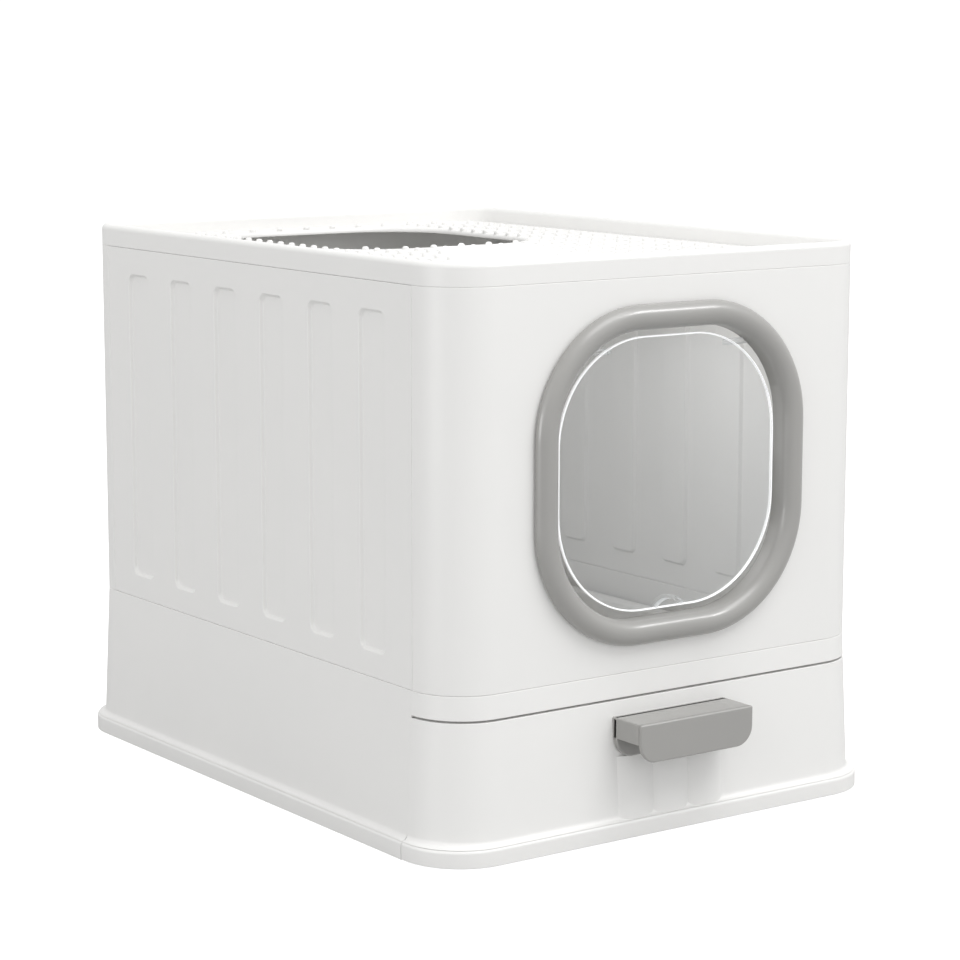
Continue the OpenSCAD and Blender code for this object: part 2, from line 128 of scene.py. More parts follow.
def rounded(corners: Sequence[Sequence[float]], steps: int = 4, closed: bool = True) -> Array:
    """Rounds the corners of an outline.

    At a corner with opening angle q the arc starts r / tan(q / 2) before it, about a centre
    r / sin(q / 2) along the bisector, and its points are a slerp of the two radii.

    Args:
        corners: Rows of x, y and the radius there, 0 for a sharp corner.
        steps: Steps in each arc.
        closed: Whether the last corner joins the first.

    Returns:
        The points, one row each.
    """
    rows = np.array([list(c) + [0] * (3 - len(c)) for c in corners], float)
    out = []
    for k, (x, y, radius) in enumerate(rows):
        here = np.array([x, y])
        if radius <= 0 or (not closed and k in (0, len(rows) - 1)):
            out.append(here[None])
            continue
        a = rows[k - 1, :2] - here
        b = rows[(k + 1) % len(rows), :2] - here
        a, b = a / np.linalg.norm(a), b / np.linalg.norm(b)
        half = math.acos(max(-1.0, min(1.0, float(a @ b)))) / 2
        middle = here + (a + b) / np.linalg.norm(a + b) * radius / math.sin(half)
        first = here + a * radius / math.tan(half) - middle
        last = here + b * radius / math.tan(half) - middle
        sweep = math.pi - 2 * half
        t = np.linspace(0, 1, steps + 1)[:, None]
        turned = np.sin((1 - t) * sweep) * first + np.sin(t * sweep) * last
        out.append(middle + turned / math.sin(sweep))
    return np.vstack(out)


# -------- shells


@dataclass
class Shell:
    """Vertices in millimetres about the cabin's middle, and the faces between them."""

    verts: Array
    faces: list[list[int]]

    def moved(self, x: float = 0.0, y: float = 0.0, z: float = 0.0) -> "Shell":
        """The shell set over by x, y and z."""
        return Shell(self.verts + [x, y, z], self.faces)

    def mapped(self, columns: Sequence[int], signs: Sequence[float]) -> "Shell":
        """The shell with its axes in another order, each times a sign."""
        return Shell(self.verts[:, list(columns)] * np.array(signs, float), self.faces)


def joined(shells: Sequence[Shell]) -> Shell:
    """Several shells as one."""
    steps = np.cumsum([0] + [len(s.verts) for s in shells])
    faces = [[i + int(step) for i in f] for s, step in zip(shells, steps) for f in s.faces]
    return Shell(np.vstack([s.verts for s in shells]), faces)


def grid_faces(
    rows: int, cols: int, wrap_rows: bool = False, wrap_cols: bool = False
) -> list[list[int]]:
    """Quads between the points of a grid, whose index is row * cols + column."""
    last_row, last_col = rows - (not wrap_rows), cols - (not wrap_cols)
    i, j = np.meshgrid(np.arange(last_row), np.arange(last_col), indexing="ij")
    k, m = (i + 1) % rows, (j + 1) % cols
    quads = np.stack([i * cols + j, k * cols + j, k * cols + m, i * cols + m], -1)
    return quads.reshape(-1, 4).tolist()


def end_caps(rows: int, cols: int) -> list[list[int]]:
    """The two faces that close the first and the last row of a grid."""
    return [list(range(cols)), list(range((rows - 1) * cols, rows * cols))[::-1]]


def round_grid(along: Array, radii: Array, turn: Array) -> Array:
    """Points around an axis: a distance along it, then the radius times cos and sin."""
    along = np.broadcast_to(along, (len(along), len(turn)))
    return np.stack([along, radii * np.cos(turn), radii * np.sin(turn)], -1)


def extrude(outline: Array, axis: int, low: Array | float, high: Array | float) -> Shell:
    """An outline pulled along an axis, with both ends closed.

    Args:
        outline: The points, in the two other axes.
        axis: The axis that it is pulled along.
        low: Where it starts, the same for all points or one value for each.
        high: Where it ends.

    Returns:
        The closed shell.
    """
    n = len(outline)
    verts = np.vstack([np.insert(outline, axis, end, axis=1) for end in (low, high)])
    return Shell(verts, grid_faces(2, n, False, True) + end_caps(2, n))


def carry(
    path: Path, profile: Array, outer: Path | None = None, reach: Pair = (0, 1)
) -> Shell:
    """A closed profile carried along a path.

    A point is the path's point plus its outward direction times the profile's first value,
    at the height of the second. Where there is an outer path, values between the two
    reaches run in a straight line from this path's offset to the outer path.

    Args:
        path: Where the profile goes.
        profile: Rows of distance outwards and height.
        outer: A second path with as many points.
        reach: Distances at which the two paths lie.

    Returns:
        The closed shell, with ends capped if the path is open.
    """
    out = profile[:, 0]
    near = np.minimum(out, reach[0]) if outer else out
    flat = path.points[:, None] + path.normals[:, None] * near[None, :, None]
    if outer:
        share = np.clip((out - reach[0]) / (reach[1] - reach[0]), 0, 1)[None, :, None]
        flat = flat + share * (outer.points - path.points - path.normals * reach[0])[:, None]
    heights = np.broadcast_to(profile[None, :, 1:], flat.shape[:2] + (1,))
    rows, cols = flat.shape[:2]
    faces = grid_faces(rows, cols, path.closed, True)
    if not path.closed:
        faces += end_caps(rows, cols)
    return Shell(np.concatenate([flat, heights], -1).reshape(-1, 3), faces)


def slab(front: Array, back: Array) -> Shell:
    """A closed shell between two grids of points, front and back, that face each other."""
    rows, cols = front.shape[:2]
    n = rows * cols
    index = np.arange(n).reshape(rows, cols)
    rim = np.concatenate([index[0, :-1], index[:-1, -1], index[-1, :0:-1], index[:0:-1, 0]])
    after = np.roll(rim, -1)
    faces = grid_faces(rows, cols)
    back_faces = [[i + n for i in reversed(f)] for f in faces]
    sides = np.stack([rim, after, after + n, rim + n], -1).tolist()
    return Shell(np.vstack([front.reshape(-1, 3), back.reshape(-1, 3)]), faces + back_faces + sides)


def rod(radius: float, length: float, edge: float = 0.4, sides: int = 24) -> Shell:
    """A round bar along X from 0, with rounded ends and its poles closed."""
    corners = [(0, 0), (0, radius, edge), (length, radius, edge), (length, 0)]
    profile = rounded(corners, 3, closed=False)[1:-1]
    turn = np.linspace(0, 2 * math.pi, sides, endpoint=False)
    verts = round_grid(profile[:, :1], profile[:, 1:], turn).reshape(-1, 3)
    rows = len(profile)
    return Shell(verts, grid_faces(rows, sides, False, True) + end_caps(rows, sides))


def plate(outline: Path, thickness: float, edge: float) -> Shell:
    """A flat plate with rounded edges, from height 0 down to the thickness."""
    inner = -edge - 0.05  # just inside the arcs, so that small corners don't cross
    corners = [(inner, 0), (0, 0, edge), (0, -thickness, edge), (inner, -thickness)]
    profile = rounded(corners, 4, closed=False)
    shell = carry(outline, profile)
    rows, cols = len(outline.points), len(profile)
    shell.faces = grid_faces(rows, cols, True, False)
    shell.faces.append(list(range(0, rows * cols, cols)))
    shell.faces.append(list(range(cols - 1, rows * cols, cols))[::-1])
    return shell


# -------- finishes


def placed(name: str, data: bpy.types.ID) -> bpy.types.Object:
    """A new object that shows the data, in the scene."""
    made = bpy.data.objects.new(name, data)
    bpy.context.scene.collection.objects.link(made)
    return made


def blank_material(name: str) -> tuple:
    """A new material, its nodes, its links and its shader."""
    made = bpy.data.materials.new(name)
    made.use_nodes = True
    nodes = made.node_tree.nodes
    return made, nodes, made.node_tree.links, nodes["Principled BSDF"]


def set_inputs(node: bpy.types.Node, **values: float | tuple) -> None:
    """Sets a node's inputs by name, with _ where the name has a space."""
    for name, value in values.items():
        node.inputs[name.replace("_", " ")].default_value = value


def wire(links: bpy.types.NodeLinks, *rows: tuple) -> None:
    """Makes links: each row is a node, its output, the next node and its input."""
    for source, output, target, into in rows:
        links.new(source.outputs[output], target.inputs[into])


def map_range(nodes: bpy.types.Nodes, low: float, high: float) -> bpy.types.Node:
    """A node that maps its input onto the span from low to high."""
    node = nodes.new("ShaderNodeMapRange")
    set_inputs(node, To_Min=low, To_Max=high)
    return node


class NodeGroups:
    """Shader node groups that more than one finish uses, each built once."""

    def __init__(self) -> None:
        """Starts with no group built."""
        self.built: dict[str, bpy.types.NodeTree] = {}

    def grain(self) -> bpy.types.NodeTree:
        """Fine moulded grain: heights for a bump, and a slow mottle for colour and gloss.

        Returns:
            The group, with inputs Scale and Slow Scale and outputs Height and Mottle.
        """
        if "grain" in self.built:
            return self.built["grain"]
        group = bpy.data.node_groups.new("moulded_grain", "ShaderNodeTree")
        for name, value in (("Scale", 1500.0), ("Slow Scale", 14.0)):
            socket = group.interface.new_socket(name, in_out="INPUT", socket_type="NodeSocketFloat")
            socket.default_value = value
        for name in ("Height", "Mottle"):
            group.interface.new_socket(name, in_out="OUTPUT", socket_type="NodeSocketFloat")
        nodes, links = group.nodes, group.links
        given, out = nodes.new("NodeGroupInput"), nodes.new("NodeGroupOutput")
        place = nodes.new("ShaderNodeTexCoord")
        fine, slow = nodes.new("ShaderNodeTexNoise"), nodes.new("ShaderNodeTexNoise")
        rows = ((fine, 2.0, "Scale", "Height"), (slow, 3.0, "Slow Scale", "Mottle"))
        for noise, detail, scale, result in rows:
            set_inputs(noise, Detail=detail)
            wire(links, (place, "Object", noise, "Vector"), (given, scale, noise, "Scale"))
            wire(links, (noise, "Fac", out, result))
        self.built["grain"] = group
        return group


GROUPS = NodeGroups()


@dataclass(frozen=True)
class MouldedPlastic:
    """Opaque moulded plastic with a fine grain and a slight mottle."""

    name: str
    colour: Triple
    tint: Triple
    roughness: float = 0.42
    mottle: float = 0.06
    bump: float = 0.12
    bump_deep: float = 0.0002
    grain: float = 1500.0
    ior: float = 1.5
    coat: float = 0.0
    coat_rough: float = 0.22

    def material(self) -> bpy.types.Material:
        """Builds the material: colour and gloss follow the mottle, the bump the grain."""
        made, nodes, links, shader = blank_material(self.name)
        grain = nodes.new("ShaderNodeGroup")
        grain.node_tree = GROUPS.grain()
        set_inputs(grain, Scale=self.grain)
        mix = nodes.new("ShaderNodeMix")
        mix.data_type = "RGBA"
        set_inputs(mix, A=(*self.colour, 1), B=(*self.tint, 1))
        gloss = map_range(nodes, self.roughness - self.mottle, self.roughness + self.mottle)
        bump = nodes.new("ShaderNodeBump")
        set_inputs(bump, Strength=self.bump, Distance=self.bump_deep)
        wire(
            links,
            (grain, "Mottle", mix, "Factor"),
            (grain, "Mottle", gloss, "Value"),
            (grain, "Height", bump, "Height"),
            (mix, "Result", shader, "Base Color"),
            (gloss, "Result", shader, "Roughness"),
            (bump, "Normal", shader, "Normal"),
        )
        set_inputs(shader, IOR=self.ior, Coat_Weight=self.coat, Coat_Roughness=self.coat_rough)
        return made


@dataclass(frozen=True)
class ClearPlastic:
    """Clear sheet plastic: alpha is face seen straight on and slant at the end of the span."""

    name: str
    colour: Triple = (0.93, 0.95, 0.96)
    face: float = 0.05
    slant: float = 0.55
    span: Pair = (0.0, 1.0)
    # Glow is emission: above 0 it paints light onto the plastic, a highlight with no lamp behind
    # it.
    glow: float = 0.0
    fresnel_ior: float = 1.45
    mottle: float = 30.0
    gloss: Pair = (0.06, 0.14)

    def material(self) -> bpy.types.Material:
        """Builds the material: alpha goes from face to slant by Fresnel."""
        made, nodes, links, shader = blank_material(self.name)
        set_inputs(shader, Base_Color=(*self.colour, 1))
        fresnel = nodes.new("ShaderNodeFresnel")
        set_inputs(fresnel, IOR=self.fresnel_ior)
        span = map_range(nodes, self.face, self.slant)
        set_inputs(span, From_Min=self.span[0], From_Max=self.span[1])
        grain = nodes.new("ShaderNodeGroup")
        grain.node_tree = GROUPS.grain()
        set_inputs(grain, Slow_Scale=self.mottle)
        gloss = map_range(nodes, *self.gloss)
        # Emission here is painted light: a glow that stands in for a highlight.
        set_inputs(shader, Emission_Color=(1, 1, 1, 1), Emission_Strength=self.glow)
        wire(
            links,
            (fresnel, "Fac", span, "Value"),
            (span, "Result", shader, "Alpha"),
            (grain, "Mottle", gloss, "Value"),
            (gloss, "Result", shader, "Roughness"),
        )
        return made


@dataclass(frozen=True)
class TurnedSteel:
    """Bright steel with fine turning marks across its length."""

    name: str
    colour: Triple = (0.56, 0.57, 0.58)
    marks: float = 600.0
    waver: float = 1.0
    gloss: Pair = (0.22, 0.42)

    def material(self) -> bpy.types.Material:
        """Builds the material: the marks are a band wave along Y."""
        made, nodes, links, shader = blank_material(self.name)
        set_inputs(shader, Base_Color=(*self.colour, 1), Metallic=1.0)
        place, wave = nodes.new("ShaderNodeTexCoord"), nodes.new("ShaderNodeTexWave")
        wave.bands_direction = "Y"
        set_inputs(wave, Scale=self.marks, Distortion=self.waver)
        gloss = map_range(nodes, *self.gloss)
        wire(
            links,
            (place, "Object", wave, "Vector"),
            (wave, "Fac", gloss, "Value"),
            (gloss, "Result", shader, "Roughness"),
        )
        return made


class Finishes:
    """The object's materials, each built once: by slot, and special ones by name."""

    def __init__(self) -> None:
        """Builds every material."""
        white = MouldedPlastic("white_moulded", (0.83, 0.825, 0.81), (0.80, 0.797, 0.785))
        grey = MouldedPlastic(
            "grey_moulded", (0.335, 0.33, 0.315), (0.315, 0.31, 0.30), 0.45, bump=0.3, coat=0.6
        )
        # The flap's edge finish glows at 0.35: emission that paints a bright highlight line round
        # the flap, not light from a lamp.
        edge = ClearPlastic("glowing_edge_highlight", (0.95, 0.955, 0.96), 0.1, 1.0, (0.04, 0.056), 0.35)
        self.by_slot = {
            Slot.WHITE: white.material(),
            Slot.GREY: grey.material(),
            Slot.CLEAR: ClearPlastic("clear_sheet").material(),
            Slot.STEEL: TurnedSteel("turned_steel").material(),
        }
        self.special = {"edge": edge.material()}


# -------- pieces


@dataclass
class Workshop:
    """Turns shells into Blender objects that ride on the CAD bodies."""

    finishes: Finishes

    def add(
        self,
        name: str,
        shell: Shell,
        body: str,
        replaces: Sequence[str],
        slot: Slot = Slot.WHITE,
        thickness: float = 0.0,
        bevel: float = 0.0,
        heart: Triple = (0, 0, 200),
        finish: str = "",
    ) -> bpy.types.Object:
        """Makes one piece.

        Args:
            name: The object's name.
            shell: Its shape, closed unless it gets a thickness.
            body: The CAD body it rides on.
            replaces: CAD nodes that it stands for.
            slot: Its finish.
            thickness: Wall in millimetres that an open shell gets, inwards.
            bevel: Radius in millimetres of its rounded edges.
            heart: A point that an open shell's faces point away from.
            finish: A special finish, in place of the slot's own.

        Returns:
            The object.
        """
        mesh = bpy.data.meshes.new(name)
        mesh.from_pydata(((shell.verts + [0, SHIFT_Y, 0]) * MM).tolist(), [], shell.faces)
        work = bmesh.new()
        work.from_mesh(mesh)
        bmesh.ops.remove_doubles(work, verts=work.verts, dist=WELD)
        bmesh.ops.dissolve_degenerate(work, edges=work.edges, dist=SLIVER)
        if thickness:
            middle = (Vector(heart) + Vector((0, SHIFT_Y, 0))) * MM
            sides = ((f.calc_area(), f.normal, f.calc_center_median() - middle) for f in work.faces)
            if sum(area * normal.dot(out) for area, normal, out in sides) < 0:
                bmesh.ops.reverse_faces(work, faces=work.faces)
        else:
            bmesh.ops.recalc_face_normals(work, faces=work.faces)
        work.to_mesh(mesh)
        work.free()
        mesh.shade_smooth()
        piece = placed(name, mesh)
        if thickness:
            wall = piece.modifiers.new("wall", "SOLIDIFY")
            wall.thickness = thickness * MM
            wall.offset = -1
            wall.use_even_offset = True
        if bevel:
            edge = piece.modifiers.new("edge", "BEVEL")
            edge.width = bevel * MM
            edge.segments = BEVEL_STEPS
            edge.limit_method = "ANGLE"
            edge.angle_limit = BEVEL_FROM
            edge.use_clamp_overlap = True
        even = piece.modifiers.new("even", "WEIGHTED_NORMAL")
        even.weight = FACE_WEIGHT
        if not (bevel or thickness):
            mesh.set_sharp_from_angle(angle=SHARP_FROM)
            even.keep_sharp = True
        finishes = self.finishes
        mesh.materials.append(finishes.special[finish] if finish else finishes.by_slot[slot])
        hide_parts(*replaces)
        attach(piece, body)
        log.info("%s: %d vertices, on body %s", name, len(mesh.vertices), body)
        return piece

    def dress(self, node: str, slot: Slot) -> None:
        """Gives a CAD node that is shown as it is its finish."""
        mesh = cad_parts[node].data
        mesh.materials.clear()
        mesh.materials.append(self.finishes.by_slot[slot])
        log.info("%s: CAD node kept", node)


@dataclass(frozen=True)
class Cabin:
    """Sizes that the sub-assemblies share, as in the CAD source."""

    width: float = 367.0
    depth: float = 488.0
    corner: float = 40.0
    height: float = 395.0
    base: float = 113.0
    flare: float = 4.5
    lip: float = 12.5
    lip_out: float = 9.5
    lip_corner: float = 45.0
    wall: float = 3.0
    rim: float = 16.0
    gap: float = 0.3
    seam_gap: float = 0.15
    hinge: Triple = (177.0, 126.0, 117.0)
    knuckle: float = 20.0
    knuckle_r: float = 3.2

    @property
    def seam(self) -> float:
        """Distance from the middle to where the panels meet, along the depth."""
        return self.depth / 2 - self.corner

    @property
    def head(self) -> float:
        """Top of the panels."""
        return self.height - self.rim

    @property
    def face(self) -> float:
        """Distance from the middle to the front panel's outside."""
        return self.depth / 2

    def flare_at(self, z: Array | float) -> Array | float:
        """How far the base wall stands out at a height: a straight slope to its foot."""
        return self.flare * (self.base - z) / (self.base - self.lip)

    def outline(self, arc: int = 14) -> Path:
        """The cabin's outside."""
        return rounded_rect(self.width, self.depth, self.corner, arc)

    def foot(self, arc: int = 14) -> Path:
        """The flange's outside."""
        width, depth = self.width + 2 * self.lip_out, self.depth + 2 * self.lip_out
        return rounded_rect(width, depth, self.lip_corner, arc)

    def carried(self, profile: Array, end: float, front: bool) -> Shell:
        """A wall and flange profile carried round the front, or else the back, up to end."""
        run, foot_run = (half_run(path, end, front) for path in (self.outline(), self.foot()))
        return carry(run, profile, foot_run, (self.flare, self.lip_out))

    def flange(self, low: float) -> list[Triple]:
        """Corners of the flange's profile, from its foot at a height up to the wall."""
        above = self.lip + 0.4
        wall = (self.flare_at(above) + 0.2, above, 4.5)
        return [(self.lip_out, low, 0.4), (self.lip_out, self.lip, 2.6), wall]


CABIN = Cabin()


@dataclass
class BaseFrame:
    """The base: flared wall with its flange, the ledges, the crossbar and the hinge lugs."""

    shop: Workshop
    wall: float = 3.0
    ledge: float = 32.0
    ledge_t: float = 3.0
    bar_z: float = 96.6
    bar_t: float = 7.0
    lug: float = 8.0
    lug_foot: Pair = (101.0, 113.0)
    lug_back: float = 181.0

    def skirt(self) -> Shell:
        """Wall, flange and ledge: one profile carried round the back from seam to seam."""
        c = CABIN
        foot = c.flare - self.wall
        end, t = foot - self.ledge, self.ledge_t
        wall = [(0, c.base, 0.7), (-self.wall, c.base, 0.7), (foot, c.lip, 0)]
        ledge = [(foot, t, 1.2), (end, t, 0.8), (end, 0, 0)]
        return c.carried(rounded(c.flange(0) + wall + ledge, 5), -c.seam, False)

    def crossbar(self) -> Shell:
        """The bar over the drawer, carried round the front."""
        c = CABIN
        low, t, z = float(c.flare_at(self.bar_z)), self.bar_t, self.bar_z
        corners = [(0, c.base, 0.7), (low, z, 0.3), (low - t, z, 0.3), (-t, c.base, 0.7)]
        return carry(half_run(c.outline(), -c.seam, True), rounded(corners, 3))

    def lugs(self) -> Shell:
        """Pairs of lugs on the side walls: a round head on a block, extruded along the wall."""
        x, y, z = CABIN.hinge
        r, (low, high) = CABIN.knuckle_r, self.lug_foot
        turn = np.radians(np.linspace(0, 180, 13))
        head = circle(turn, r) + [x, z]
        foot = np.array([[x - r, low], [self.lug_back, low], [self.lug_back, high], [x + r, high]])
        ring = np.vstack([head, foot])
        shells = []
        for along in (-y, y):
            for end in (-1, 1):
                mid = along + end * (CABIN.knuckle / 2 + CABIN.gap + self.lug / 2)
                right = extrude(ring, 1, mid - self.lug / 2, mid + self.lug / 2)
                shells += [right, right.mapped((0, 1, 2), (-1, 1, 1))]
        return joined(shells)

    def build(self) -> None:
        """Makes the pieces on the cabin's body."""
        add, node = self.shop.add, ("base_frame",)
        add("base_skirt", self.skirt(), "cabin", node)
        add("base_crossbar", self.crossbar(), "cabin", node)
        add("hinge_lugs", self.lugs(), "cabin", node, bevel=0.4)


@dataclass
class Drawer:
    """The drawer: front with reeds, handle, tray and screws."""

    shop: Workshop
    top: float = 95.0
    low: float = 0.4
    wall: float = 3.0
    shelf: float = 14.0
    shelf_t: float = 2.5
    end_gap: float = 0.6
    tray_top: float = 91.0
    tray_width: float = 350.0
    tray_reach: Pair = (238.5, 238.0)
    tray_radius: float = 34.0
    tray_rim: float = 5.0
    tray_draft: float = 8.0
    tray_floor: float = 3.3
    handle_top: float = 84.5
    handle_w: float = 98.0
    handle_h: float = 27.0
    handle_d: float = 31.0
    handle_r: float = 13.5
    hood: float = 14.2
    back_h: float = 28.0
    back_t: float = 4.2
    shell: float = 3.0
    reed_w: float = 30.5
    reed_t: float = 3.6
    reed_sunk: float = 1.5

    def front(self) -> Shell:
        """Wall, flange and shelf: one profile carried round the front between the seams."""
        c = CABIN
        foot, top = c.flare - self.wall, float(c.flare_at(self.top))
        under = self.top - self.shelf_t
        shelf = [(top, self.top, 0.45), (-self.shelf, self.top, 0.6), (-self.shelf, under, 0.6)]
        inside = [(top - self.wall, under, 0), (foot, c.lip, 0), (foot, self.low, 0.4)]
        profile = rounded(c.flange(self.low) + shelf + inside, 5)
        return c.carried(profile, -c.seam - self.end_gap, True)

    def bump(self, x: Array) -> Array:
        """How far the reeds stand out at x: the highest of three circles' caps."""
        chord = self.reed_w + 1
        radius = (chord**2 / 4 + self.reed_t**2) / (2 * self.reed_t)
        from_middle = x[..., None] - np.array([-1, 0, 1]) * self.reed_w
        caps = np.sqrt(np.maximum(radius**2 - from_middle**2, 0)) - radius + self.reed_t
        return caps.max(-1)

    def reeds(self) -> Shell:
        """The reeds: a height over x and z, closed behind inside the wall."""
        c = CABIN
        edge = self.reed_w * 1.5 + 0.5
        valleys = np.array([-0.5, 0.5]) * self.reed_w
        x = np.unique(np.concatenate([np.linspace(-edge, edge, 97), valleys]))
        z = np.linspace(c.lip + 0.4, self.handle_top - self.back_h + 0.3, 12)
        grid_x, grid_z = np.meshgrid(x, z, indexing="ij")
        wall = -c.face - c.flare_at(grid_z)
        front = np.stack([grid_x, wall - self.bump(grid_x), grid_z], -1)
        return slab(front, np.stack([grid_x, wall + self.reed_sunk, grid_z], -1))

    def grip_plate(self, height: float, thickness: float, front_y: float) -> Shell:
        """An upright plate of the handle with round lower corners, its front face at front_y."""
        w, top, low, r = self.handle_w / 2, self.handle_top, self.handle_top - height, self.handle_r
        middle = (top + low) / 2
        ring = rounded([(-w, top, 1.2), (-w, low, r), (w, low, r), (w, top, 1.2)], 10)
        step = np.roll(ring, -1, 0) - np.roll(ring, 1, 0)
        across = np.linalg.norm(step, axis=1, keepdims=True)
        normals = np.stack([step[:, 1], -step[:, 0]], -1) / across
        outline = Path(ring - [0, middle], normals)
        face = plate(outline, thickness, min(1.1, thickness / 2 - 0.1))
        return face.mapped((0, 2, 1), (1, -1, 1)).moved(0, front_y, middle)

    def handle(self) -> Shell:
        """Front plate, back plate and the hood between them, whose ends stop half way down."""
        c = CABIN
        w, top, t = self.handle_w / 2, self.handle_top, self.shell
        reach = c.face + float(c.flare_at(top)) + self.handle_d
        end, w_in, top_in = top - self.hood, w - t, top - t
        outside = [(-w, end, 0.4), (-w, top, 1.2), (w, top, 1.2), (w, end, 0.4)]
        inside = [(w_in, end, 0.4), (w_in, top_in, 0.5), (-w_in, top_in, 0.5), (-w_in, end, 0.4)]
        section = rounded(outside + inside, 4)
        hood = extrude(section, 1, -reach + t - 0.4, -c.face - c.flare_at(section[:, 1]))
        seat = -c.face - float(c.flare_at(top - self.back_h)) + 0.2
        front = self.grip_plate(self.handle_h, t, -reach)
        return joined([front, self.grip_plate(self.back_h, self.back_t, seat - self.back_t), hood])

    def tray(self) -> Shell:
        """One open surface from the rolled rim down the wall to the floor."""
        rim, top, low = self.tray_rim, self.tray_top, self.tray_floor
        front, back = self.tray_reach
        outline = rounded_rect(self.tray_width, front + back, self.tray_radius + rim, 10)
        lip = [(0, top - 5), (0, top, 1.5), (-rim, top, 1.5)]
        wall = [(-rim - self.tray_draft, low, 6), (-self.tray_radius, low)]
        profile = rounded(lip + wall, 5, closed=False)
        # The outline shrinks with the wall, and one face closes the floor.
        shell = carry(outline, profile)
        rows, cols = len(outline.points), len(profile)
        floor = [list(range(cols - 1, rows * cols, cols))]
        shell.faces = grid_faces(rows, cols, True, False) + floor
        return shell.moved(0, (back - front) / 2, 0)

    def build(self) -> None:
        """Makes the pieces on the drawer's body."""
        add = self.shop.add
        add("drawer_face", self.front(), "drawer", ("drawer_front",))
        add("drawer_reeds", self.reeds(), "drawer", ("drawer_front",))
        add("drawer_grip", self.handle(), "drawer", ("drawer_handle",), Slot.GREY)
        tray, looks = ("litter_tray",), {"thickness": 2.5, "bevel": 0.5, "heart": (0, 0, 60)}
        add("tray_shell", self.tray(), "drawer", tray, **looks)
        self.shop.dress("handle_screws", Slot.STEEL)


